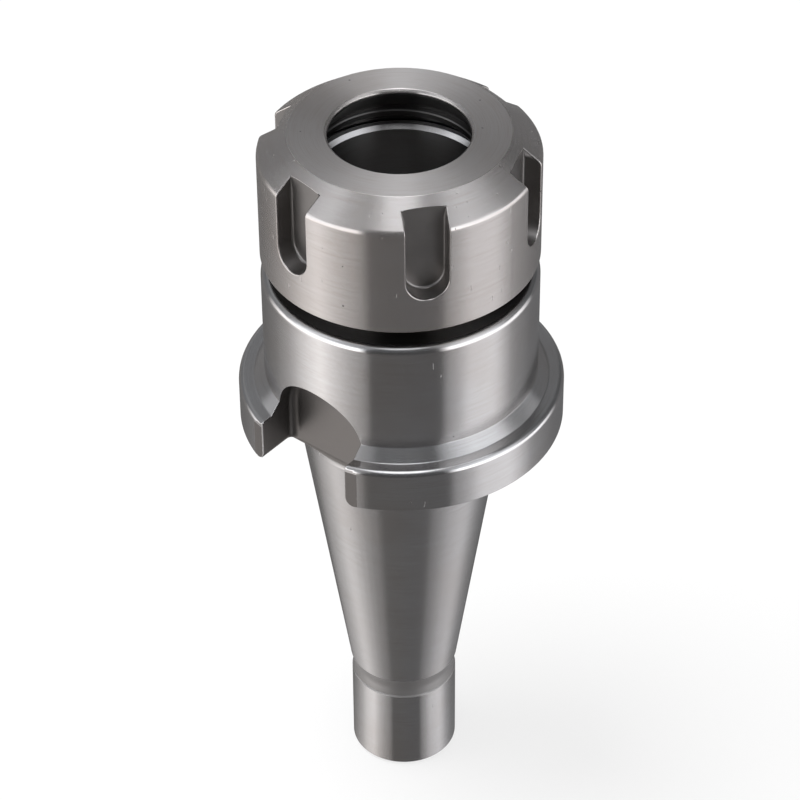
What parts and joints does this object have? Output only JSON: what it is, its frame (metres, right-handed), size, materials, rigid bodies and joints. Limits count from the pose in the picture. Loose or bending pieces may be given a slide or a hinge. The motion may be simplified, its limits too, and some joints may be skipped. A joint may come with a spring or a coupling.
{
  "type": "collet chuck holder",
  "caption": "Steep-taper tool holder with a slotted drive flange, a tapered collet socket in its threaded nose and a slotted clamping nut.",
  "frame": {"origin": "centre of the tail's end face, at the foot of the spindle axis", "axes": "+Z along the spindle axis from the tail up to the nut's face, and -Y through the middle of one drive key slot"},
  "size_m": [0.05, 0.0468, 0.1218],
  "materials": {
    "holder_steel": "hardened steel, ground and polished",
    "nut_steel": "hardened steel, turned and polished"
  },
  "bodies": {
    "holder": {"holder_body": "holder_steel"},
    "nut": {"clamping_nut": "nut_steel"}
  },
  "joints": [
    {"name": "nut_turn", "type": "hinge", "parent": "holder", "child": "nut", "pos_m": [0, 0, 0.11], "axis": [0, 0, 1], "range_deg": [-690, 2250]}
  ]
}
